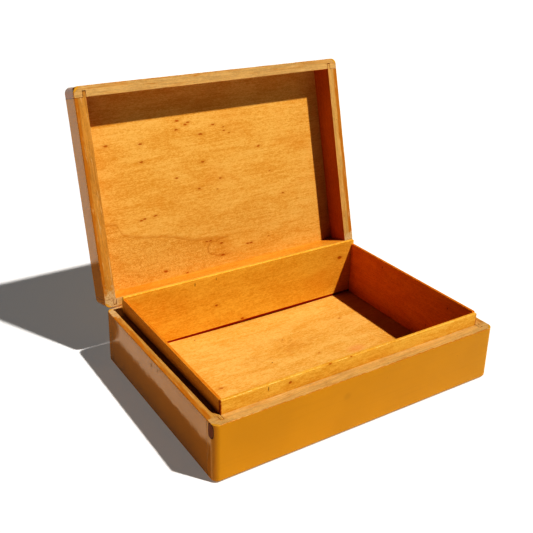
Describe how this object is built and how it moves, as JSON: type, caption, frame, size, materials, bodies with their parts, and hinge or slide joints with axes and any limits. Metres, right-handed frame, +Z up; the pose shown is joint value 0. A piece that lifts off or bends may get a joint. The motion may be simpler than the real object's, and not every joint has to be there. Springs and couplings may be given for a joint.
{
  "type": "art supply box",
  "caption": "Plain rectangular wooden storage box with a hinged lid that fits down over a raised inner liner, shown open.",
  "frame": {"origin": "centre of the base's underside", "axes": "+X along the length to the right, +Y to the back where the hinges are, +Z up"},
  "size_m": [0.3, 0.2925, 0.2594],
  "materials": {
    "lacquered_wood": "gloss ochre lacquer outside, honey varnish inside, worn bare at the rims",
    "liner_wood": "honey varnish",
    "panel_ply": "honey varnish over birch veneer",
    "hinge_brass": "satin",
    "pin_steel": "satin"
  },
  "bodies": {
    "base": {"base_front_wall": "lacquered_wood", "base_back_wall": "lacquered_wood", "base_left_wall": "lacquered_wood", "base_right_wall": "lacquered_wood", "bottom_panel": "panel_ply", "liner_front": "liner_wood", "liner_back": "liner_wood", "liner_left": "liner_wood", "liner_right": "liner_wood", "hinge_left_base_leaf": "hinge_brass", "hinge_right_base_leaf": "hinge_brass", "hinge_left_pin": "pin_steel", "hinge_right_pin": "pin_steel", "hinge_base_screws": "pin_steel"},
    "lid": {"lid_front_wall": "lacquered_wood", "lid_back_wall": "lacquered_wood", "lid_left_wall": "lacquered_wood", "lid_right_wall": "lacquered_wood", "lid_panel": "panel_ply", "hinge_left_lid_leaf": "hinge_brass", "hinge_right_lid_leaf": "hinge_brass", "hinge_lid_screws": "pin_steel"}
  },
  "joints": [
    {"name": "lid_hinge", "type": "hinge", "parent": "base", "child": "lid", "pos_m": [0, 0.106, 0.05415], "axis": [1, 0, 0], "range_deg": [0, 104.5]}
  ]
}
